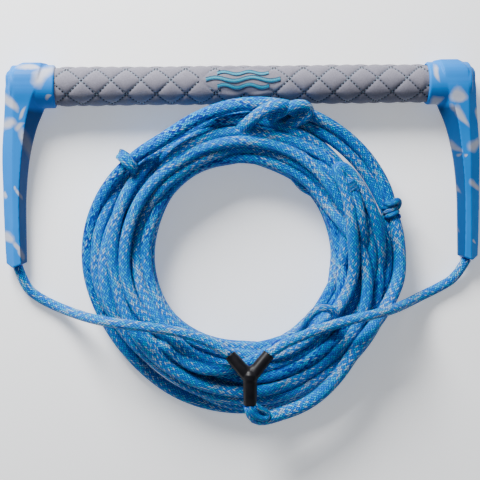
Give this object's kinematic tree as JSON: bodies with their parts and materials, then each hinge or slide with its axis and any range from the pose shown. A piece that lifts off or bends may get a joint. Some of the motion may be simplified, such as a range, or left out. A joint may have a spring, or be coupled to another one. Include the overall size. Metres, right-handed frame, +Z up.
{
  "type": "tow rope handle",
  "caption": "Padded grip bar between two moulded arms, with a rope bridle through them to a rubber yoke, and the tow line wound in a loose round coil.",
  "frame": {"origin": "middle of the underside of the handle's own outline (bar and arms, without the free ropes)", "axes": "+X along the grip bar, +Y from the arms' rope ends towards the bar, +Z up from the ground it lies on"},
  "size_m": [0.381, 0.287, 0.0545],
  "materials": {
    "arm_moulding": "satin moulded elastomer, sky blue marbled with pale grey",
    "grip_fabric": "grey synthetic suede, diamond quilted",
    "grip_foam": "closed-cell foam",
    "emblem_thread": "satin embroidery thread",
    "tube_metal": "drawn tube",
    "bush_plastic": "moulded nylon",
    "bridle_rope": "hollow braid, blue, cyan and silver yarns",
    "line_rope": "hollow braid, blue, cyan and silver yarns",
    "yoke_rubber": "smooth moulded black rubber"
  },
  "bodies": {
    "arms_and_ropes": {"arm_left": "arm_moulding", "arm_right": "arm_moulding", "bridle_core": "bridle_rope", "bridle_leg_left": "bridle_rope", "bridle_leg_right": "bridle_rope", "yoke": "yoke_rubber", "yoke_splice": "bridle_rope", "line_lead": "line_rope", "line_coil": "line_rope", "loop_knot_top": "line_rope", "loop_knot_left": "line_rope", "loop_knot_right": "line_rope", "yoke_hitch": "line_rope", "tow_eye": "line_rope"},
    "grip_bar": {"bar_tube": "tube_metal", "tube_bush_left": "bush_plastic", "tube_bush_right": "bush_plastic", "grip_foam": "grip_foam", "grip_cover": "grip_fabric", "grip_seam": "grip_fabric", "grip_emblem": "emblem_thread"}
  },
  "joints": [
    {"name": "grip_roll", "type": "hinge", "parent": "arms_and_ropes", "child": "grip_bar", "pos_m": [0, 0.0623, 0.017], "axis": [1, 0, 0], "continuous": true}
  ]
}
